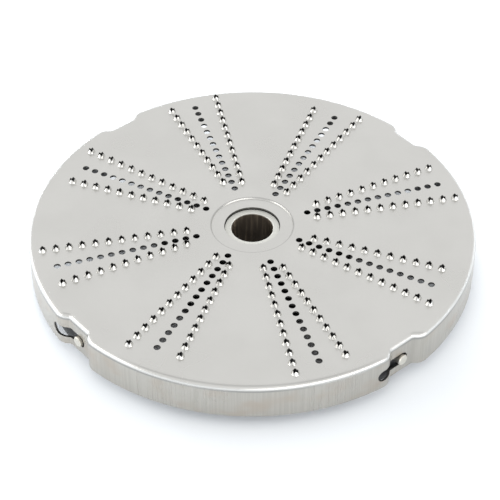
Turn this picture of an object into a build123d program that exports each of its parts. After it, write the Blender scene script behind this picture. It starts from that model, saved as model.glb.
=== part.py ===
from build123d import *

import math
import os

# Driving dimensions, in millimetres and degrees.

# Pressed pan: a flat plate with a turned-down rim.
disc_diameter = 205.0
sheet = 1.0
rim_height = 18.0
corner_radius = 3.0
foot_gap = 5.0

# Dished ring round the hub.
dish_diameter = 36.0
dish_depth = 0.8
dish_slope = 1.5

# Scallops in the rim, one at each arm.
arm_count = 4
scallop_depth = 3.5
scallop_floor = 13.0
flank_angle = 50.0
flank_outer_radius = 6.0
flank_inner_radius = 2.0

# Lock pins and the slots that they turn in.
pin_diameter = 5.0
pin_drop = 11.0
pin_inset = 1.0
pin_depth = 12.0
pin_chamfer = 0.4
slot_clearance = 0.5
seat_gap = 0.4
slot_lead = 2.0

# Grating pattern: groups of one row of round holes between two rows of teeth.
groups_per_arm = 2
group_shift = 2.75
hole_diameter = 3.0
hole_pitch = 5.0
hole_start = 24.0
hole_land = 7.0
tooth_pitch = 6.0
leading_angle = -6.4
leading_offset = -1.15
leading_start = 27.5
leading_land = 2.5
trailing_angle = 7.6
trailing_offset = -0.4
trailing_start = 30.1
trailing_land = 5.5

# One tooth: a square pyramid pierced by a star, which leaves four pointed petals.
petal_count = 4
tooth_base = 3.6
tooth_height = 2.2
tip_opening = 1.6
slit_span = 3.6

# Hub bush and the spider that carries the pan.
bore_diameter = 19.0
bush_wall = 3.0
bush_drop = 1.2
bush_chamfer = 0.5
hub_gap = 0.5
seat_clearance = 0.25
boss_inset = 1.0
arm_width = 12.0
arm_thickness = 8.0
arm_edge = 1.5
arm_gap = 1.0
pad_width = 46.0
pad_depth = 5.0
pad_low = 3.0
pad_high = 16.0
foot_diameter = 92.0
foot_thickness = 2.5
drive_slot_length = 30.0
drive_slot_width = 6.0
drive_slot_depth = 5.0

# Places that follow from the driving dimensions, with the hub's foot at zero height.
disc_radius = disc_diameter / 2
plate_top = foot_gap + rim_height
plate_bottom = plate_top - sheet
flat_radius = disc_radius - corner_radius
dish_radius = dish_diameter / 2
bush_radius = bore_diameter / 2 + bush_wall
bush_top = plate_top - dish_depth - bush_drop
boss_radius = dish_radius - boss_inset
boss_top = plate_bottom - dish_depth - seat_clearance
pin_height = plate_top - pin_drop
pin_end = disc_radius - sheet - pin_inset
arm_end = disc_radius - scallop_depth - sheet - arm_gap
arm_angles = [360 / arm_count * i for i in range(arm_count)]
through = 4 * (sheet + dish_depth)


def scallop_plan(inset):
    """Plan of a scallop on the X axis, grown by the inset of the face that it shapes."""
    slope = math.radians(flank_angle)
    floor_at = disc_radius - scallop_depth - inset
    floor_half = scallop_floor / 2 + inset * (1 - math.sin(slope)) / math.cos(slope)
    outside = disc_radius + sheet
    mouth_half = floor_half + (outside - floor_at) * math.tan(slope)
    corners = [
        (floor_at, -floor_half),
        (floor_at, floor_half),
        (outside, mouth_half),
        (outside, -mouth_half),
    ]
    return make_face(Polyline(corners, close=True)), math.hypot(floor_at, floor_half)


def corners_at(plan, radius):
    """Corners of a plan that lie at one radius."""
    return [v for v in plan.vertices() if math.isclose(math.hypot(v.X, v.Y), radius, abs_tol=0.01)]


def pan_plan(inset):
    """Round plan of the pan with its scallops, moved in by the inset."""
    plan = Sketch() + Circle(disc_radius - inset)
    scallop, floor_corner = scallop_plan(inset)
    plan -= [Rot(0, 0, angle) * scallop for angle in arm_angles]
    plan = fillet(corners_at(plan, floor_corner), flank_inner_radius + inset)
    return fillet(corners_at(plan, disc_radius - inset), flank_outer_radius - inset)


def rounded_block(plan, height, radius):
    """A plan raised to a height, with its top edge rounded."""
    block = extrude(plan, height)
    return fillet(block.faces().sort_by(Axis.Z)[-1].edges(), radius)


def dish(top):
    """What lies between the dish's floor and the level that it was pressed down from."""
    cone = Cone(dish_radius, dish_radius + dish_slope, dish_depth)
    return Pos(0, 0, top - dish_depth / 2) * cone


def bayonet_slot(angle):
    """Cutter for the level slot that a lock pin turns in, from its seat to past the scallop."""
    half = pin_diameter / 2 + slot_clearance
    mouth_half = scallop_floor / 2 + scallop_depth * math.tan(math.radians(flank_angle))
    lobe = math.degrees((mouth_half + slot_lead) / disc_radius)
    seat = math.degrees(seat_gap / disc_radius)
    inner = arm_end - arm_gap
    length = disc_radius + sheet - inner
    middle = (inner + length / 2, 0, pin_height)
    band = Plane.XZ * Pos(middle[0], pin_height) * Rectangle(length, 2 * half)
    end = Pos(*middle) * Rot(0, 90, 0) * Cylinder(half, length)
    sweep = Rot(0, 0, -lobe) * revolve(band, Axis.Z, lobe + seat)
    return [Rot(0, 0, angle) * piece for piece in (sweep, Rot(0, 0, -lobe) * end, Rot(0, 0, seat) * end)]


def row_places(row, start, pitch, land):
    """Places along the X axis of a row, as far out as the land beside the plate's bend allows."""
    count = math.floor((flat_radius - land - start) / pitch) + 1
    return [row * Pos(start + pitch * i, 0, plate_top) for i in range(count)]


def pattern_places():
    """Places of the round holes and of the teeth. Every second group starts a little further out."""
    holes = []
    teeth = []
    groups = arm_count * groups_per_arm
    for group in range(groups):
        turn = Rot(0, 0, 360 / groups * (group - 0.5))
        shift = group_shift * ((group + 1) % 2)
        leading = turn * Pos(0, leading_offset) * Rot(0, 0, leading_angle)
        trailing = turn * Pos(0, trailing_offset) * Rot(0, 0, trailing_angle)
        holes += row_places(turn, hole_start + shift, hole_pitch, hole_land)
        teeth += row_places(leading, leading_start + shift, tooth_pitch, leading_land)
        teeth += row_places(trailing, trailing_start + shift, tooth_pitch, trailing_land)
    return holes, teeth


def tooth_pyramid():
    """Pyramid that stands on the plate. Its faces look along and across the row."""
    apex = tooth_height * tooth_base / (tooth_base - tip_opening)
    lean = math.degrees(math.atan2(tooth_base / 2, apex))
    return extrude(Rectangle(tooth_base, tooth_base), (apex + tooth_height) / 2, taper=lean)


def tooth_star():
    """Star-shaped cutter. Its points are the slits between the petals."""
    points = []
    for i in range(2 * petal_count):
        reach = (tip_opening, slit_span)[i % 2] / 2
        turn = math.pi / petal_count * i
        points.append((reach * math.cos(turn), reach * math.sin(turn)))
    star = make_face(Polyline(points, close=True))
    return Pos(0, 0, -2 * sheet) * extrude(star, 2 * sheet + 2 * tooth_height)


def grating_pan():
    """Pressed pan with its teeth, holes, scallops and slots."""
    outside = rounded_block(pan_plan(0), rim_height, corner_radius)
    inside = rounded_block(pan_plan(sheet), rim_height - sheet, corner_radius - sheet)
    pan = Pos(0, 0, foot_gap) * (outside - inside)
    pan += dish(plate_bottom)
    pan -= dish(plate_top)
    pan -= Pos(0, 0, plate_top) * Cylinder(bush_radius + hub_gap, through)
    for angle in arm_angles:
        pan -= bayonet_slot(angle)
    holes, teeth = pattern_places()
    pyramid = tooth_pyramid()
    pan += [place * pyramid for place in teeth]
    star = tooth_star()
    drill = Cylinder(hole_diameter / 2, through)
    return pan - [place * star for place in teeth] - [place * drill for place in holes]


def drive_slot():
    """Slot across the hub's foot for the shaft's cross pin."""
    return Box(drive_slot_length, drive_slot_width, 2 * drive_slot_depth)


def hub_bush():
    """Turned bush that fits the drive shaft."""
    tube = extrude(Circle(bush_radius) - Circle(bore_diameter / 2), bush_top)
    top_edges = tube.faces().sort_by(Axis.Z)[-1].edges().sort_by(SortBy.RADIUS)
    tube = chamfer(top_edges[0], bush_chamfer)
    return tube - drive_slot()


def pin_blank(length):
    """Round bar that starts at the bottom of the pin's socket in the arm on the X axis."""
    section = Plane.YZ * Circle(pin_diameter / 2)
    return Pos(arm_end - pin_depth, 0, pin_height) * extrude(section, length)


def arm_pad():
    """Curved pad on the end of the arm on the X axis, close inside the rim."""
    ring = Circle(arm_end) - Circle(arm_end - pad_depth)
    plan = ring & Pos(arm_end, 0) * Rectangle(4 * pad_depth, pad_width)
    return Pos(0, 0, pad_low) * extrude(plan, pad_high - pad_low)


def carrier_spider():
    """Boss under the dish with a wide foot, and with an arm and its pad out to each lock pin."""
    boss = extrude(Circle(boss_radius), boss_top) + extrude(Circle(foot_diameter / 2), foot_thickness)
    section = Plane.YZ * Pos(0, pin_height) * RectangleRounded(arm_width, arm_thickness, arm_edge)
    arm = extrude(section, arm_end)
    pad = arm_pad()
    spider = boss + [Rot(0, 0, angle) * piece for angle in arm_angles for piece in (arm, pad)]
    spider -= [Rot(0, 0, angle) * pin_blank(2 * pin_depth) for angle in arm_angles]
    spider -= extrude(Circle(bush_radius), boss_top)
    return spider - drive_slot()


def lock_pin():
    """Pin pressed into the end of the arm on the X axis."""
    pin = pin_blank(pin_end - arm_end + pin_depth)
    return chamfer(pin.edges().sort_by(Axis.X)[-1], pin_chamfer)


parts = {
    "grating_pan": grating_pan(),
    "hub_bush": hub_bush(),
    "carrier_spider": carrier_spider(),
}
for number, angle in enumerate(arm_angles, 1):
    parts[f"lock_pin_{number}"] = Rot(0, 0, angle) * lock_pin()

os.makedirs("parts", exist_ok=True)
for name, shape in parts.items():
    export_step(shape, f"parts/{name}.step")
    print(name, "volume", round(shape.volume, 1), "mm3")
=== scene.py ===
# %% [markdown]
# # A grating disc for a food processor
#
# The real thing is a shallow pan, pressed from one sheet of stainless steel. Rows of round holes and of
# sharp little crowns run out from its hub. The pan drops over a cast carrier, and a small turn locks it
# behind four pins. The carrier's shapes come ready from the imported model. Here the pan gets its pressed
# forms, and every piece gets its metal.

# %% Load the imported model
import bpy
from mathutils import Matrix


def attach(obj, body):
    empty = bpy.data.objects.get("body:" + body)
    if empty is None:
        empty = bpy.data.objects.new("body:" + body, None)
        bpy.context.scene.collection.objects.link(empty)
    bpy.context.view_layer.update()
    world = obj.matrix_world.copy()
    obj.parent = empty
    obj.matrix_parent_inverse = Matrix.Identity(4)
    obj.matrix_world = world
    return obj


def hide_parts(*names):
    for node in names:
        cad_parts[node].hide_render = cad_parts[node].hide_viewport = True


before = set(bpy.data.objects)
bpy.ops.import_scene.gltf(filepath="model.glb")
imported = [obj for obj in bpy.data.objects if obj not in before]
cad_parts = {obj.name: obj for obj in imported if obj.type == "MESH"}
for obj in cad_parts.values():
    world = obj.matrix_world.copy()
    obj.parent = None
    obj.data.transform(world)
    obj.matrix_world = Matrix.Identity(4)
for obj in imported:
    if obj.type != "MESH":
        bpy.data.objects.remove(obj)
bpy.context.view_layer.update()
print("nodes", sorted(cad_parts))

# %% Modules and the unit of length
import math
from collections import namedtuple

import bmesh
import bpy
from mathutils import Matrix, Vector
from mathutils.geometry import intersect_line_sphere_2d

MM = 0.001

# %% [markdown]
# ## The camera
#
# A product picture of a flat disc is taken from well above, with a long lens, so that circles stay close
# to true ellipses. A camera could be aimed with a Track To constraint. Here its matrix is built from the
# viewing angle instead, because a matrix also holds the small roll of the picture.

# %% Camera
CAMERA_AZIMUTH = math.radians(229.78)
CAMERA_ELEVATION = math.radians(42.269)
CAMERA_ROLL = math.radians(-0.205)
CAMERA_DISTANCE = 801.73 * MM
CAMERA_SIDE = -1.06 * MM
CAMERA_RISE = -11.84 * MM
SENSOR_WIDTH = 36.0
LENS = 125.63
PLATE_TOP = 23.0 * MM


def add_camera():
    """Camera that looks down on the middle of the plate."""
    across = math.cos(CAMERA_ELEVATION)
    back = Vector((
        across * math.cos(CAMERA_AZIMUTH),
        across * math.sin(CAMERA_AZIMUTH),
        math.sin(CAMERA_ELEVATION),
    ))
    right = Vector((-math.sin(CAMERA_AZIMUTH), math.cos(CAMERA_AZIMUTH), 0))
    up = back.cross(right)
    middle = Vector((0, 0, PLATE_TOP))
    stand = middle + back * CAMERA_DISTANCE + right * CAMERA_SIDE + up * CAMERA_RISE
    turned = Matrix((right, up, back)).transposed().to_4x4() @ Matrix.Rotation(CAMERA_ROLL, 4, "Z")
    data = bpy.data.cameras.new("camera")
    data.sensor_width = SENSOR_WIDTH
    data.lens = LENS
    camera = bpy.data.objects.new("camera", data)
    camera.matrix_world = Matrix.Translation(stand) @ turned
    bpy.context.scene.collection.objects.link(camera)
    bpy.context.scene.camera = camera
    return camera


camera = add_camera()
print("camera stands at", [round(v, 3) for v in camera.matrix_world.translation])

# %% [markdown]
# ## The pan's rim
#
# Seen from above, the rim is a circle with four scallops, where the lock pins lie. A boolean could cut
# the scallops out of a round pan, but it leaves ragged faces along the rounded edge. So the outline is
# drawn first: each scallop needs only four corners, and a spin draws the arc to the next one. Bevelling
# the corners in the flat outline gives the soft bends of pressed sheet.

# %% Rim outline
RIM_RADIUS = 102.5 * MM
RIM_HEIGHT = 18.0 * MM
CORNER_RADIUS = 3.0 * MM
ARMS = 4
QUARTER = math.tau / ARMS
SCALLOP_DEPTH = 3.5 * MM
SCALLOP_FLOOR = 13.0 * MM
FLANK_ANGLE = math.radians(50)
FLANK_REACH = 3 * SCALLOP_DEPTH
MOUTH_BEND = 6.0 * MM
FLOOR_BEND = 2.0 * MM
ARC_STEPS = 44
BEND_STEPS = 6


def scallop_corners():
    """A scallop's floor corner and mouth corner, in a scallop on the X axis."""
    floor = Vector((RIM_RADIUS - SCALLOP_DEPTH, SCALLOP_FLOOR / 2))
    reach = floor + FLANK_REACH * Vector((math.cos(FLANK_ANGLE), math.sin(FLANK_ANGLE)))
    crossings = intersect_line_sphere_2d(floor, reach, Vector((0, 0)), RIM_RADIUS)
    mouth = next(point for point in crossings if point)
    return floor, mouth


def round_corners(bm, corners, radius, turn):
    """Rounds corners of a flat outline, each of which turns by the same angle."""
    bmesh.ops.bevel(
        bm, geom=corners, offset=radius * math.tan(turn / 2), offset_type="OFFSET",
        affect="VERTICES", segments=BEND_STEPS, profile=0.5, material=-1,
    )


def rim_outline(bm):
    """Flat face with the pan's outline, at the height of the plate."""
    floor, mouth = scallop_corners()
    mouth_angle = math.atan2(mouth.y, mouth.x)
    floors, mouths, arc_ends = [], [], []
    for arm in range(ARMS):
        turn = Matrix.Rotation(QUARTER * arm, 3, "Z")
        flat = ((mouth.x, -mouth.y), (floor.x, -floor.y), (floor.x, floor.y), (mouth.x, mouth.y))
        corners = [bm.verts.new(turn @ Vector((x, y, PLATE_TOP))) for x, y in flat]
        for first, second in zip(corners, corners[1:]):
            bm.edges.new((first, second))
        arc = bmesh.ops.spin(
            bm, geom=[corners[3]], cent=(0, 0, 0), axis=(0, 0, 1),
            angle=QUARTER - 2 * mouth_angle, steps=ARC_STEPS,
        )
        arc_ends.append(arc["geom_last"][0])
        mouths += [corners[0], corners[3]]
        floors += corners[1:3]
    starts = mouths[2::2] + mouths[:1]
    bmesh.ops.weld_verts(bm, targetmap=dict(zip(arc_ends, starts)))
    bmesh.ops.contextual_create(bm, geom=bm.edges[:])
    round_corners(bm, floors, FLOOR_BEND, math.pi / 2 - FLANK_ANGLE)
    round_corners(bm, mouths, MOUTH_BEND, math.pi / 2 - FLANK_ANGLE + mouth_angle)


pan = bmesh.new()
rim_outline(pan)
print("outline has", len(pan.verts), "points and", len(pan.faces), "face")

# %% [markdown]
# The wall is the outline's edge, extruded down. One bevel along the top edge then makes the rounded
# corner that catches the light in a bright band.

# %% Rim wall and rounded corner
CORNER_STEPS = 7


def points_of(made):
    """The vertices in what an operator made."""
    return [part for part in made if isinstance(part, bmesh.types.BMVert)]


def edges_of(made):
    """The edges in what an operator made."""
    return [part for part in made if isinstance(part, bmesh.types.BMEdge)]


def turn_down_rim(bm):
    """Extrudes the wall, rounds its top edge and opens the flat plate."""
    plate = bm.faces[:][0]
    top_edges = plate.edges[:]
    wall = bmesh.ops.extrude_edge_only(bm, edges=top_edges)
    bmesh.ops.translate(bm, verts=points_of(wall["geom"]), vec=(0, 0, -RIM_HEIGHT))
    bmesh.ops.bevel(
        bm, geom=top_edges, offset=CORNER_RADIUS, offset_type="OFFSET", affect="EDGES",
        segments=CORNER_STEPS, profile=0.5, material=-1,
    )
    plate = max(bm.faces, key=lambda face: len(face.verts))
    bmesh.ops.delete(bm, geom=[plate], context="FACES_ONLY")


turn_down_rim(pan)
print("rim has", len(pan.faces), "faces")

# %% [markdown]
# ## Bayonet slots
#
# In each scallop a level slot runs sideways from the pin. A knife is the tool for it: bisect_plane cuts
# new edges into the wall and leaves its surface as it was. Two level cuts make the slot's long sides,
# and a fan of short cuts makes each round end. What lies inside all the cuts is deleted.

# %% Bayonet slots
PIN_HEIGHT = 12.0 * MM
SLOT_HALF = 3.0 * MM
SEAT_GAP = 0.4 * MM
SLOT_LEAD = 2.0 * MM
SLOT_REACH = math.radians(14)
END_CUTS = 7
UPRIGHT = 0.01
TOUCHING = MM / 1000
UP = Vector((0, 0, 1))


def slot_ends(arm):
    """Middles of a slot's round ends, each with the direction that leads out of the slot."""
    mouth_half = SCALLOP_FLOOR / 2 + SCALLOP_DEPTH * math.tan(FLANK_ANGLE)
    lead_in = -(mouth_half + SLOT_LEAD) / RIM_RADIUS
    ends = []
    for offset, side in ((SEAT_GAP / RIM_RADIUS, 1), (lead_in, -1)):
        turn = Matrix.Rotation(QUARTER * arm + offset, 3, "Z")
        ends.append((turn @ Vector((RIM_RADIUS, 0, PIN_HEIGHT)), turn @ Vector((0, side, 0))))
    return ends


def wall_near(bm, arm):
    """Wall faces round the scallop of an arm."""
    ahead = Matrix.Rotation(QUARTER * arm, 3, "Z") @ Vector((1, 0, 0))
    reach = RIM_RADIUS * math.cos(SLOT_REACH) - SCALLOP_DEPTH
    return [
        face for face in bm.faces
        if face.calc_center_median().dot(ahead) > reach and abs(face.normal.z) < UPRIGHT
    ]


def cut_faces(bm, faces, point, out):
    """Cuts faces along a plane."""
    geom = dict.fromkeys(part for face in faces for part in (face, *face.edges, *face.verts))
    bmesh.ops.bisect_plane(bm, geom=list(geom), dist=TOUCHING, plane_co=point, plane_no=out)


def cut_slot(bm, arm):
    """Cuts one bayonet slot through the wall."""
    middle = UP * PIN_HEIGHT
    cuts = [(middle + UP * SLOT_HALF, UP), (middle - UP * SLOT_HALF, -UP)]
    for point, out in cuts:
        cut_faces(bm, wall_near(bm, arm), point, out)
    for end, along in slot_ends(arm):
        for cut in range(1, END_CUTS + 1):
            lean = math.pi * (cut / (END_CUTS + 1) - 0.5)
            out = along * math.cos(lean) + UP * math.sin(lean)
            beside = [
                face for face in wall_near(bm, arm)
                if (face.calc_center_median() - end).length < 2 * SLOT_HALF
                and abs(face.calc_center_median().z - PIN_HEIGHT) < SLOT_HALF
            ]
            cuts.append((end + out * SLOT_HALF, out))
            cut_faces(bm, beside, *cuts[-1])
    inside = [
        face for face in wall_near(bm, arm)
        if all((face.calc_center_median() - point).dot(out) < 0 for point, out in cuts)
    ]
    bmesh.ops.delete(bm, geom=inside, context="FACES")
    return len(inside)


for arm in range(ARMS):
    pan.normal_update()
    print("slot", arm, "took out", cut_slot(pan, arm), "faces")

# %% [markdown]
# ## The dish round the hub
#
# The plate is pressed down a little round the hub. Turned shapes are a spin of half a section: four
# points here. Two bevels then soften the bends, as a press tool does.

# %% Dish
DISH_RADIUS = 18.65 * MM
DISH_SLOPE = 0.35 * MM
DISH_DEPTH = 0.8 * MM
DISH_LAND = 1.5 * MM
HUB_HOLE = 12.85 * MM
DISH_STEPS = 96
DISH_BEND = 0.2 * MM
DISH_BEND_STEPS = 3
ON_CIRCLE = MM / 100


def loop_at(edges, radius):
    """Edges that lie on a circle about the shaft's axis."""
    return [
        edge for edge in edges
        if all(abs(vert.co.xy.length - radius) < ON_CIRCLE for vert in edge.verts)
    ]


def press_dish(bm):
    """Spins the dish and softens its bends."""
    bend = DISH_RADIUS + DISH_SLOPE
    section = (
        (bend + DISH_LAND, PLATE_TOP),
        (bend, PLATE_TOP),
        (DISH_RADIUS, PLATE_TOP - DISH_DEPTH),
        (HUB_HOLE, PLATE_TOP - DISH_DEPTH),
    )
    points = [bm.verts.new((radius, 0, height)) for radius, height in section]
    wires = [bm.edges.new(pair) for pair in zip(points, points[1:])]
    old = set(bm.edges) - set(wires)
    bmesh.ops.spin(
        bm, geom=points + wires, cent=(0, 0, 0), axis=(0, 0, 1),
        angle=math.tau, steps=DISH_STEPS, use_merge=True,
    )
    dish_edges = [edge for edge in bm.edges if edge not in old]
    bends = loop_at(dish_edges, bend) + loop_at(dish_edges, DISH_RADIUS)
    bmesh.ops.bevel(
        bm, geom=bends, offset=DISH_BEND, offset_type="OFFSET", affect="EDGES",
        segments=DISH_BEND_STEPS, profile=0.5, material=-1,
    )


press_dish(pan)
print("rim and dish have", len(pan.faces), "faces")

# %% [markdown]
# ## The crowns
#
# Each tooth is a crown: a punch bursts through the sheet from below, and the sheet stands up round the
# hole in four pointed petals. A crown starts as a circle on the plate. Extruding that circle and drawing
# it in, ring by ring, raises the skirt. For each petal the last ring's edges are extruded once more and
# merged into one point, which leaves open slits between the petals. The sheet gets thinner as it tears,
# so each ring also holds how much of the sheet's thickness is left, as a weight.

# %% One crown
CROWN_SIDES = 12
PETALS = 4
CROWN_RINGS = (
    (2.00 * MM, 0.00 * MM, 1.00),
    (1.90 * MM, 0.22 * MM, 0.85),
    (1.56 * MM, 0.95 * MM, 0.40),
)
PETAL_TIP = (1.14 * MM, 2.20 * MM, 0.12)


def make_crown():
    """Mesh of one crown, with its base circle at zero height and the weights of its sheet."""
    bm = bmesh.new()
    thin = bm.verts.layers.deform.verify()
    radius, height, weight = CROWN_RINGS[0]
    half_side = Matrix.Rotation(math.pi / CROWN_SIDES, 4, "Z")
    bmesh.ops.create_circle(bm, segments=CROWN_SIDES, radius=radius, matrix=half_side)
    ring = bm.edges[:]
    for vert in bm.verts:
        vert[thin][0] = weight
    for next_radius, next_height, weight in CROWN_RINGS[1:]:
        raised = bmesh.ops.extrude_edge_only(bm, edges=ring)
        points = points_of(raised["geom"])
        ring = [edge for edge in edges_of(raised["geom"]) if all(vert in points for vert in edge.verts)]
        draw_in = next_radius / radius
        bmesh.ops.scale(bm, vec=(draw_in, draw_in, 1), verts=points)
        bmesh.ops.translate(bm, vec=(0, 0, next_height - height), verts=points)
        for vert in points:
            vert[thin][0] = weight
        radius, height = next_radius, next_height
    tip_radius, tip_height, weight = PETAL_TIP
    petal_reach = math.cos(math.pi / PETALS)
    for petal in range(PETALS):
        azimuth = math.tau / PETALS * petal
        ahead = Vector((math.cos(azimuth), math.sin(azimuth), 0))
        base = [
            edge for edge in ring
            if (edge.verts[0].co + edge.verts[1].co).xy.normalized().dot(ahead.xy) > petal_reach
        ]
        raised = bmesh.ops.extrude_edge_only(bm, edges=base)
        points = points_of(raised["geom"])
        for vert in points:
            vert[thin][0] = weight
        tip = ahead * tip_radius + Vector((0, 0, tip_height))
        bmesh.ops.pointmerge(bm, verts=points, merge_co=tip)
    mesh = bpy.data.meshes.new("crown")
    bm.to_mesh(mesh)
    bm.free()
    return mesh


crown = make_crown()
print("one crown has", len(crown.polygons), "faces")

# %% [markdown]
# ## Rows of holes and crowns
#
# Eight groups run out from the hub, each a row of round holes between two rows of crowns, which lean a
# little apart. Every second group starts further out, so that no two groups cut in the same tracks. An
# array modifier could repeat the crowns, but a loop can also stop each row at the plate's bend.

# %% Places along the rows
Row = namedtuple("Row", "lean offset start pitch land")

GROUPS = 2 * ARMS
GROUP_SHIFT = 2.75 * MM
HOLE_RADIUS = 1.56 * MM
HOLE_ROW = Row(0.0, 0.0, 24.0 * MM, 5.0 * MM, 7.0 * MM)
LEADING_ROW = Row(math.radians(-6.4), -1.15 * MM, 27.5 * MM, 6.0 * MM, 2.5 * MM)
TRAILING_ROW = Row(math.radians(7.6), -0.4 * MM, 30.1 * MM, 6.0 * MM, 5.5 * MM)


def row_places(azimuth, row, shift):
    """Matrices along one row, as far out as the land beside the plate's bend allows."""
    first = row.start + shift
    count = math.floor((RIM_RADIUS - CORNER_RADIUS - row.land - first) / row.pitch) + 1
    beside = Matrix.Translation((0, row.offset, 0)) @ Matrix.Rotation(row.lean, 4, "Z")
    line = Matrix.Rotation(azimuth, 4, "Z") @ beside
    return [line @ Matrix.Translation((first + row.pitch * i, 0, PLATE_TOP)) for i in range(count)]


hole_places = []
crown_places = []
for group in range(GROUPS):
    azimuth = math.tau / GROUPS * (group - 0.5)
    shift = GROUP_SHIFT * ((group + 1) % 2)
    hole_places += row_places(azimuth, HOLE_ROW, shift)
    crown_places += row_places(azimuth, LEADING_ROW, shift)
    crown_places += row_places(azimuth, TRAILING_ROW, shift)
print(len(hole_places), "holes and", len(crown_places), "crowns")

# %% [markdown]
# The crowns and the holes' edges are set out on the plate's level as loose loops. Then triangle_fill
# spans the sheet between all of them at once, as a filled curve would. The plate is flat, so it doesn't
# matter how its triangles run.

# %% Crowns and holes in their places
HOLE_SIDES = 24


def set_out_crowns():
    """Mesh of all the crowns."""
    bm = bmesh.new()
    for place in crown_places:
        old = len(bm.verts)
        bm.from_mesh(crown)
        bm.verts.ensure_lookup_table()
        bmesh.ops.transform(bm, matrix=place, verts=bm.verts[old:])
    mesh = bpy.data.meshes.new("crowns")
    bm.to_mesh(mesh)
    bm.free()
    return mesh


pan.from_mesh(set_out_crowns())
for place in hole_places:
    bmesh.ops.create_circle(pan, segments=HOLE_SIDES, radius=HOLE_RADIUS, matrix=place)
print("pan has", len(pan.verts), "points before the plate is filled")

# %% Plate


def open_loops(bm, height):
    """Edges at one height with fewer than two faces."""
    return [
        edge for edge in bm.edges
        if len(edge.link_faces) < 2 and all(abs(vert.co.z - height) < TOUCHING for vert in edge.verts)
    ]


def span_plate(bm):
    """Fills the sheet between the rim, the dish, the crowns and the holes."""
    bounds = open_loops(bm, PLATE_TOP)
    filled = bmesh.ops.triangle_fill(bm, use_beauty=True, edges=bounds, normal=(0, 0, 1))
    return sum(isinstance(part, bmesh.types.BMFace) for part in filled["geom"])


print("plate has", span_plate(pan), "triangles")

# %% [markdown]
# So far the pan is a skin with no thickness. A Solidify modifier gives it the sheet's millimetre, inwards,
# and a vertex group makes the torn petals thinner. The sheared edges are marked sharp. Elsewhere the sheet
# is smooth, and a Weighted Normal modifier lets the large flat faces settle the shading along bends.

# %% Sheet thickness
SHEET = 1.0 * MM


def finish_pan(bm):
    """Makes the pan's object from its skin."""
    bmesh.ops.recalc_face_normals(bm, faces=bm.faces)
    thin = bm.verts.layers.deform.verify()
    for vert in bm.verts:
        if 0 not in vert[thin]:
            vert[thin][0] = 1.0
    for face in bm.faces:
        face.smooth = True
    for edge in bm.edges:
        edge.smooth = not edge.is_boundary
    mesh = bpy.data.meshes.new("pressed_pan")
    bm.to_mesh(mesh)
    bm.free()
    pressed = bpy.data.objects.new("pressed_pan", mesh)
    bpy.context.scene.collection.objects.link(pressed)
    pressed.vertex_groups.new(name="sheet_left")
    solid = pressed.modifiers.new("sheet", "SOLIDIFY")
    solid.thickness = SHEET
    solid.offset = -1
    solid.use_even_offset = True
    solid.vertex_group = "sheet_left"
    solid.material_offset_rim = 1
    solid.material_offset = 2
    shading = pressed.modifiers.new("shading", "WEIGHTED_NORMAL")
    shading.keep_sharp = True
    return pressed


pressed_pan = finish_pan(pan)
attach(pressed_pan, "pan")
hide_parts("grating_pan")
print("pan's skin has", len(pressed_pan.data.polygons), "faces")

# %% [markdown]
# ## Satin steel
#
# The pan is stainless sheet with a satin skin. A single grey with an even roughness would look like
# plastic, because real sheet is never quite even. Noises on Object coordinates give it life. The grain is
# a fine noise that is drawn out along the shaft's axis, so it makes upright streaks on the rim's wall and
# a fine speckle on the plate. Clouds are broad and faint. Blotches give the wall a straw colour in places.
# The wall's steel is painted darker than the plate's, as shade. Two darker lines are painted shade too:
# one round the dish's top edge, and one below the rim's bend.

# %% Node helpers


def new_metal(name):
    """Metal material with its node tree, its shader and its Object coordinates."""
    material = bpy.data.materials.new(name)
    material.use_nodes = True
    tree = material.node_tree
    shader = tree.nodes["Principled BSDF"]
    shader.inputs["Metallic"].default_value = 1.0
    place = tree.nodes.new("ShaderNodeTexCoord")
    return material, tree, shader, place.outputs["Object"]


def noise(tree, place, size, stretch=(1, 1, 1), detail=2.0):
    """Noise whose spots are about one size across, drawn out by the stretch."""
    mapping = tree.nodes.new("ShaderNodeMapping")
    mapping.inputs["Scale"].default_value = [1 / (size * part) for part in stretch]
    tree.links.new(place, mapping.inputs["Vector"])
    texture = tree.nodes.new("ShaderNodeTexNoise")
    texture.inputs["Scale"].default_value = 1.0
    texture.inputs["Detail"].default_value = detail
    tree.links.new(mapping.outputs["Vector"], texture.inputs["Vector"])
    return texture.outputs["Fac"]


def ranged(tree, value, source, target):
    """Maps a value from one range to another, with soft ends."""
    node = tree.nodes.new("ShaderNodeMapRange")
    node.interpolation_type = "SMOOTHSTEP"
    node.inputs["From Min"].default_value, node.inputs["From Max"].default_value = source
    node.inputs["To Min"].default_value, node.inputs["To Max"].default_value = target
    tree.links.new(value, node.inputs["Value"])
    return node.outputs["Result"]


def calculate(tree, operation, first, second):
    """Math node on two sockets."""
    node = tree.nodes.new("ShaderNodeMath")
    node.operation = operation
    tree.links.new(first, node.inputs[0])
    tree.links.new(second, node.inputs[1])
    return node.outputs["Value"]


def blend_colours(tree, amount, first, second):
    """Mixes two colours, each a socket or three numbers."""
    node = tree.nodes.new("ShaderNodeMix")
    node.data_type = "RGBA"
    tree.links.new(amount, node.inputs["Factor"])
    for socket, colour in ((node.inputs[6], first), (node.inputs[7], second)):
        if isinstance(colour, tuple):
            socket.default_value = (*colour, 1)
        else:
            tree.links.new(colour, socket)
    return node.outputs[2]


def roughen(tree, shader, height, depth):
    """Bump of a given depth."""
    node = tree.nodes.new("ShaderNodeBump")
    node.inputs["Distance"].default_value = depth
    tree.links.new(height, node.inputs["Height"])
    tree.links.new(node.outputs["Normal"], shader.inputs["Normal"])


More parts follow.
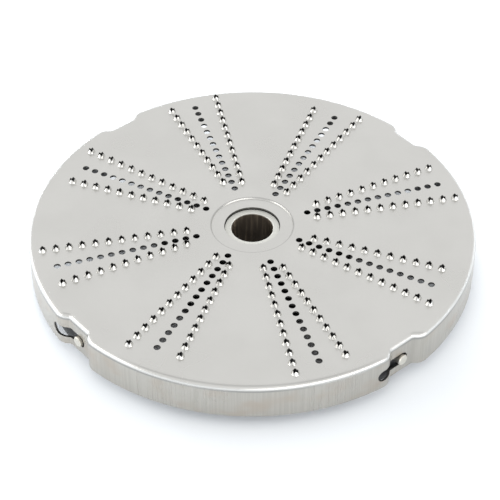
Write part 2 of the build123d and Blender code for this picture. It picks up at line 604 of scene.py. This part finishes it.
def from_axis(tree, place):
    """Distance from the shaft's axis, and height, as two sockets."""
    parts = tree.nodes.new("ShaderNodeSeparateXYZ")
    tree.links.new(place, parts.inputs["Vector"])
    flat = tree.nodes.new("ShaderNodeCombineXYZ")
    tree.links.new(parts.outputs["X"], flat.inputs["X"])
    tree.links.new(parts.outputs["Y"], flat.inputs["Y"])
    reach = tree.nodes.new("ShaderNodeVectorMath")
    reach.operation = "LENGTH"
    tree.links.new(flat.outputs["Vector"], reach.inputs[0])
    return reach.outputs["Value"], parts.outputs["Z"]


def line_at(tree, value, middle, reach):
    """1 where a value is in the middle of a line, falling to 0 at the line's edges."""
    rise = ranged(tree, value, (middle - reach, middle), (0, 1))
    fall = ranged(tree, value, (middle, middle + reach), (1, 0))
    return calculate(tree, "MINIMUM", rise, fall)


# %% Satin steel
STEEL = (0.63, 0.625, 0.602)
STEEL_BRIGHT = (0.66, 0.655, 0.632)
# The wall's two tones are darker than the plate's steel: painted shade. The grain mixes them into streaks.
SHADED_WALL = (0.47, 0.453, 0.415)
SHADED_WALL_BRIGHT = (0.52, 0.501, 0.462)
WALL_STRAW = (0.475, 0.42, 0.36)
# Painted shade: a dark line below the rim's bend.
BEND_SHADE_LINE = (0.33, 0.322, 0.31)
# Painted shade: a dark line round the dish's top edge.
DISH_EDGE_SHADE = (0.48, 0.477, 0.463)
BEND_LOW = PLATE_TOP - CORNER_RADIUS
BEND_SHADE_WIDTH = 0.9 * MM
BEND_SHADE_FADE = 45 * MM
DISH_EDGE = DISH_RADIUS + DISH_SLOPE + 0.1 * MM
DISH_EDGE_SHADE_WIDTH = 0.5 * MM
CLOUD_SIZE = 28 * MM
BLOTCH_SIZE = 14 * MM
GRAIN_SIZE = 0.7 * MM
GRAIN_DRAWN = (1, 1, 60)
GRAIN_DEPTH = 0.004 * MM
SATIN = (0.27, 0.31)
STREAKS = (-0.015, 0.03)


def make_satin_steel():
    """Satin stainless sheet, with streaks and a straw tint on the rim's wall, and painted shade."""
    material, tree, shader, place = new_metal("satin_steel")
    radius, height = from_axis(tree, place)
    on_wall = ranged(tree, height, (BEND_LOW - MM, BEND_LOW + MM), (1, 0))
    clouds = noise(tree, place, CLOUD_SIZE, detail=3.0)
    grain = noise(tree, place, GRAIN_SIZE, stretch=GRAIN_DRAWN)
    blotches = noise(tree, place, BLOTCH_SIZE, stretch=(1, 1, 0.7))
    sheet = blend_colours(tree, ranged(tree, clouds, (0.3, 0.7), (0, 1)), STEEL, STEEL_BRIGHT)
    # Streaked wall steel, painted darker as shade.
    drawn = blend_colours(tree, ranged(tree, grain, (0.35, 0.65), (0, 1)), SHADED_WALL, SHADED_WALL_BRIGHT)
    tinted = blend_colours(tree, ranged(tree, blotches, (0.45, 0.75), (0, 0.8)), drawn, WALL_STRAW)
    # Painted shade line round the dish's top edge.
    dish_shaded = blend_colours(tree, line_at(tree, radius, DISH_EDGE, DISH_EDGE_SHADE_WIDTH), sheet, DISH_EDGE_SHADE)
    skin = blend_colours(tree, on_wall, dish_shaded, tinted)
    # Painted shade line below the rim's bend, faded in places by a broad noise.
    shade_fade = ranged(tree, noise(tree, place, BEND_SHADE_FADE), (0.35, 0.55), (0.2, 1.0))
    bend_shade = calculate(tree, "MULTIPLY", line_at(tree, height, BEND_LOW, BEND_SHADE_WIDTH), shade_fade)
    tree.links.new(blend_colours(tree, bend_shade, skin, BEND_SHADE_LINE), shader.inputs["Base Color"])
    streaks = calculate(tree, "MULTIPLY", on_wall, ranged(tree, grain, (0.3, 0.7), STREAKS))
    satin = ranged(tree, clouds, (0.3, 0.7), SATIN)
    tree.links.new(calculate(tree, "ADD", satin, streaks), shader.inputs["Roughness"])
    roughen(tree, shader, grain, GRAIN_DEPTH)
    return material


def dress(piece, *materials):
    """Gives a piece its materials."""
    piece.data.materials.clear()
    for material in materials:
        piece.data.materials.append(material)


# %% [markdown]
# A press shears the sheet, and a sheared edge stays torn and dull. Its darker grey is partly painted shade,
# for the dark gap round the hub and the holes' walls. The pan's inside is painted near black, as shade, for
# what shows through the outer holes. Solidify builds faces along all open edges and an inner skin. Its two
# material offsets give those the second and the third of the pan's materials.

# %% Sheared edges and inside
# Sheared edges: dull steel, darker partly as painted shade.
EDGE = (0.30, 0.294, 0.284)
EDGE_DARK = (0.14, 0.137, 0.131)
# The pan's inside: near-black steel, painted shade.
INSIDE_SHADE = (0.08, 0.078, 0.075)
INSIDE_SHADE_DARK = (0.04, 0.039, 0.038)
EDGE_SPOTS = 0.5 * MM
INSIDE_SPOTS = 6 * MM
DULL = (0.55, 0.4)


def make_dull_steel(name, size, first, second):
    """Unpolished steel with spots of one size in two tones."""
    material, tree, shader, place = new_metal(name)
    spots = noise(tree, place, size, detail=3.0)
    colour = blend_colours(tree, ranged(tree, spots, (0.4, 0.7), (0, 1)), first, second)
    tree.links.new(colour, shader.inputs["Base Color"])
    tree.links.new(ranged(tree, spots, (0.3, 0.7), DULL), shader.inputs["Roughness"])
    return material


sheared_edge = make_dull_steel("sheared_edge", EDGE_SPOTS, EDGE_DARK, EDGE)
# The inside's near black is painted shade.
shaded_inside = make_dull_steel("shaded_inside", INSIDE_SPOTS, INSIDE_SHADE_DARK, INSIDE_SHADE)
dress(pressed_pan, make_satin_steel(), sheared_edge, shaded_inside)
print("pan wears", [material.name for material in pressed_pan.data.materials])

# %% [markdown]
# ## Turned steel
#
# A lathe leaves fine rings. On the bush's face they lie round the shaft, in the bore they lie one above
# the other, and on the pins they run round each pin. All three follow one pair of numbers, the distance
# from the shaft's axis and the height, so a noise of those two serves every piece. Wear has made the bush
# matt, so only a part of its skin acts as metal. In its bore, old grease is a dark film with upright smears.

# %% Turned steel
TURNED = (0.65, 0.63, 0.57)
TURNED_BRIGHT = (0.73, 0.705, 0.64)
FILM = (0.08, 0.062, 0.045)
FILM_THIN = (0.20, 0.155, 0.11)
BORE_RADIUS = 9.5 * MM
FILM_EDGE = (BORE_RADIUS + 0.05 * MM, BORE_RADIUS + 0.4 * MM)
RING_SIZE = 0.3 * MM
RING_DEPTH = 0.006 * MM
SMEAR_SIZE = 1.6 * MM
SMEAR_DRAWN = (1, 1, 12)
TOOL_FINISH = (0.36, 0.48)
WORN_METALLIC = 0.35


def make_turned_steel(name, metallic):
    """Turned steel with its tool marks, and a dark film in the bore."""
    material, tree, shader, place = new_metal(name)
    shader.inputs["Metallic"].default_value = metallic
    radius, height = from_axis(tree, place)
    section = tree.nodes.new("ShaderNodeCombineXYZ")
    tree.links.new(radius, section.inputs["X"])
    tree.links.new(height, section.inputs["Y"])
    rings = noise(tree, section.outputs["Vector"], RING_SIZE, detail=3.0)
    smears = noise(tree, place, SMEAR_SIZE, stretch=SMEAR_DRAWN)
    steel = blend_colours(tree, ranged(tree, rings, (0.3, 0.7), (0, 1)), TURNED, TURNED_BRIGHT)
    film = blend_colours(tree, ranged(tree, smears, (0.4, 0.75), (0, 1)), FILM, FILM_THIN)
    clean = ranged(tree, radius, FILM_EDGE, (0, 1))
    tree.links.new(blend_colours(tree, clean, film, steel), shader.inputs["Base Color"])
    tree.links.new(ranged(tree, rings, (0.3, 0.7), TOOL_FINISH), shader.inputs["Roughness"])
    roughen(tree, shader, rings, RING_DEPTH)
    return material


dress(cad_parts["hub_bush"], make_turned_steel("worn_bush", WORN_METALLIC))
pin_steel = make_turned_steel("pin_steel", 1.0)
for number in range(1, ARMS + 1):
    dress(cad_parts[f"lock_pin_{number}"], pin_steel)
print("bush and", ARMS, "pins are turned")

# %% [markdown]
# ## Cast aluminium
#
# The carrier is a plain casting. Through the holes near the hub it shows almost black, and it is coloured
# almost black here. The skin is dull and a little rough from the mould, and paler in patches.

# %% Cast aluminium
CAST = (0.07, 0.07, 0.072)
CAST_PALE = (0.13, 0.129, 0.128)
PATCH_SIZE = 9 * MM
MOULD_GRAIN = 0.7 * MM
MOULD_DEPTH = 0.06 * MM
CAST_FINISH = (0.48, 0.62)


def make_cast_aluminium():
    """Almost black casting with the mould's grain."""
    material, tree, shader, place = new_metal("dark_casting")
    patches = noise(tree, place, PATCH_SIZE, detail=4.0)
    grains = noise(tree, place, MOULD_GRAIN, detail=3.0)
    colour = blend_colours(tree, ranged(tree, patches, (0.35, 0.7), (0, 1)), CAST, CAST_PALE)
    tree.links.new(colour, shader.inputs["Base Color"])
    tree.links.new(ranged(tree, grains, (0.3, 0.7), CAST_FINISH), shader.inputs["Roughness"])
    roughen(tree, shader, grains, MOULD_DEPTH)
    return material


dress(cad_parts["carrier_spider"], make_cast_aluminium())
print("carrier wears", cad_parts["carrier_spider"].data.materials[0].name)

# %% [markdown]
# ## Floor
#
# The disc stands on a white table. A bare white floor would need a lot of light to come out white, and
# that light would burn out the steel. So the floor gets plain light, and adds a little glow of its own
# for what the camera and the reflections see. The glow shows only in the deep shade under the pan.

# %% Floor
FLOOR_HALF = 6.0
FLOOR_WHITE = (0.93, 0.92, 0.905)
FLOOR_GLOW = (0.024, 0.023, 0.022)


def seen_directly(tree):
    """Socket that is 1 for rays from the camera, and for those that metal or glass sends on."""
    path = tree.nodes.new("ShaderNodeLightPath")
    seen = calculate(tree, "MAXIMUM", path.outputs["Is Camera Ray"], path.outputs["Is Glossy Ray"])
    return calculate(tree, "MAXIMUM", seen, path.outputs["Is Transmission Ray"])


def add_floor():
    """White table top."""
    bm = bmesh.new()
    bmesh.ops.create_grid(bm, x_segments=1, y_segments=1, size=FLOOR_HALF)
    mesh = bpy.data.meshes.new("floor")
    bm.to_mesh(mesh)
    bm.free()
    floor = bpy.data.objects.new("floor", mesh)
    bpy.context.scene.collection.objects.link(floor)
    material = bpy.data.materials.new("table_white")
    material.use_nodes = True
    tree = material.node_tree
    shader = tree.nodes["Principled BSDF"]
    shader.inputs["Base Color"].default_value = (*FLOOR_WHITE, 1)
    shader.inputs["Roughness"].default_value = 1.0
    shader.inputs["Specular IOR Level"].default_value = 0.0
    shader.inputs["Emission Color"].default_value = (*FLOOR_GLOW, 1)
    tree.links.new(seen_directly(tree), shader.inputs["Emission Strength"])
    mesh.materials.append(material)
    return floor


floor = add_floor()
print("floor is", 2 * FLOOR_HALF, "m wide")

# %% [markdown]
# ## Light
#
# Satin metal shows the room more than the lamps, so the room is white all round. Two softboxes stand low,
# left and right of the camera. They draw the white band along the rim's bend and the two bright spots on
# every crown, and only the metal sees them. Four strips light the floor from all sides. Three of them stand
# low too, so that their light reaches in under the rim.

# %% Softboxes
WARM = (1.0, 0.985, 0.96)
COOL = (0.87, 0.93, 1.0)
LAMP_DISTANCE = 1.5


def facing(azimuth, elevation, distance):
    """Matrix of something that faces the disc, at an angle from the camera."""
    turn = math.radians(azimuth) + CAMERA_AZIMUTH
    rise = math.radians(elevation)
    out = Vector((math.cos(rise) * math.cos(turn), math.cos(rise) * math.sin(turn), math.sin(rise)))
    return Matrix.Translation(out * distance) @ out.to_track_quat("Z", "Y").to_matrix().to_4x4()


def add_softbox(name, azimuth, elevation, size, power, colour):
    """Area lamp at an angle from the camera, turned to the disc."""
    data = bpy.data.lights.new(name, "AREA")
    data.shape = "RECTANGLE"
    data.size, data.size_y = size
    data.energy = power
    data.color = colour
    lamp = bpy.data.objects.new(name, data)
    lamp.matrix_world = facing(azimuth, elevation, LAMP_DISTANCE)
    bpy.context.scene.collection.objects.link(lamp)
    return lamp


boxes = [
    add_softbox("right_box", 34, 6, (2.0, 0.4), 6.2, WARM),
    add_softbox("left_box", -84, 7, (1.8, 0.5), 6.8, WARM),
]
strips = [
    add_softbox("front_strip", 0, 28, (2.2, 0.5), 8.0, COOL),
    add_softbox("right_strip", 105, 9.5, (2.2, 0.5), 46.0, COOL),
    add_softbox("back_strip", 200, 6, (2.4, 0.3), 130.0, COOL),
    add_softbox("left_strip", -100, 7, (1.8, 0.35), 50.0, COOL),
]
for lamp in boxes:
    lamp.visible_diffuse = False
for lamp in strips:
    lamp.visible_glossy = False
for lamp in boxes + strips:
    print(lamp.name, "gives", round(lamp.data.energy, 1), "W")

# %% [markdown]
# Photographers also take light away. A grey card hangs above the camera, and only reflections see it. It
# draws the soft grey line over the rim's white band, and a grey streak down the front of each crown.

# %% Grey card
CARD_SIZE = (2.6, 0.55)
CARD_GLOW = 0.70
CARD_ELEVATION = 58
CARD_DISTANCE = 1.3


def add_card():
    """Card that is darker than the room."""
    bm = bmesh.new()
    bmesh.ops.create_grid(bm, x_segments=1, y_segments=1, size=0.5)
    bmesh.ops.scale(bm, vec=(*CARD_SIZE, 1), verts=bm.verts)
    place = facing(0, CARD_ELEVATION, CARD_DISTANCE)
    bmesh.ops.transform(bm, matrix=place, verts=bm.verts)
    mesh = bpy.data.meshes.new("grey_card")
    bm.to_mesh(mesh)
    bm.free()
    card = bpy.data.objects.new("grey_card", mesh)
    bpy.context.scene.collection.objects.link(card)
    material = bpy.data.materials.new("card_grey")
    material.use_nodes = True
    shader = material.node_tree.nodes["Principled BSDF"]
    shader.inputs["Base Color"].default_value = (0, 0, 0, 1)
    shader.inputs["Specular IOR Level"].default_value = 0.0
    shader.inputs["Emission Color"].default_value = (1, 1, 1, 1)
    shader.inputs["Emission Strength"].default_value = CARD_GLOW
    mesh.materials.append(material)
    card.visible_camera = False
    card.visible_diffuse = False
    card.visible_shadow = False
    return card


card = add_card()
print("card is", CARD_SIZE[0], "m wide")

# %% [markdown]
# The room itself is the world's background. The camera and the metal see it plain white. All other rays see
# it a little blue and dimmer, which lights the floor softly. A white dome round the scene could do this as
# well, but the lamps would light the dome too.

# %% White room
ROOM_LIGHT = (0.92, 0.96, 1.0)
ROOM_STRENGTH = 0.72


def add_room():
    """World that lights the disc softly and looks white."""
    world = bpy.data.worlds.new("white_room")
    world.use_nodes = True
    tree = world.node_tree
    light = tree.nodes["Background"]
    light.inputs["Color"].default_value = (*ROOM_LIGHT, 1)
    light.inputs["Strength"].default_value = ROOM_STRENGTH
    white = tree.nodes.new("ShaderNodeBackground")
    white.inputs["Color"].default_value = (1, 1, 1, 1)
    either = tree.nodes.new("ShaderNodeMixShader")
    tree.links.new(seen_directly(tree), either.inputs["Fac"])
    tree.links.new(light.outputs["Background"], either.inputs[1])
    tree.links.new(white.outputs["Background"], either.inputs[2])
    tree.links.new(either.outputs["Shader"], tree.nodes["World Output"].inputs["Surface"])
    bpy.context.scene.world = world
    return world


print("world is", add_room().name)
bpy.context.scene.view_settings.view_transform = "Standard"
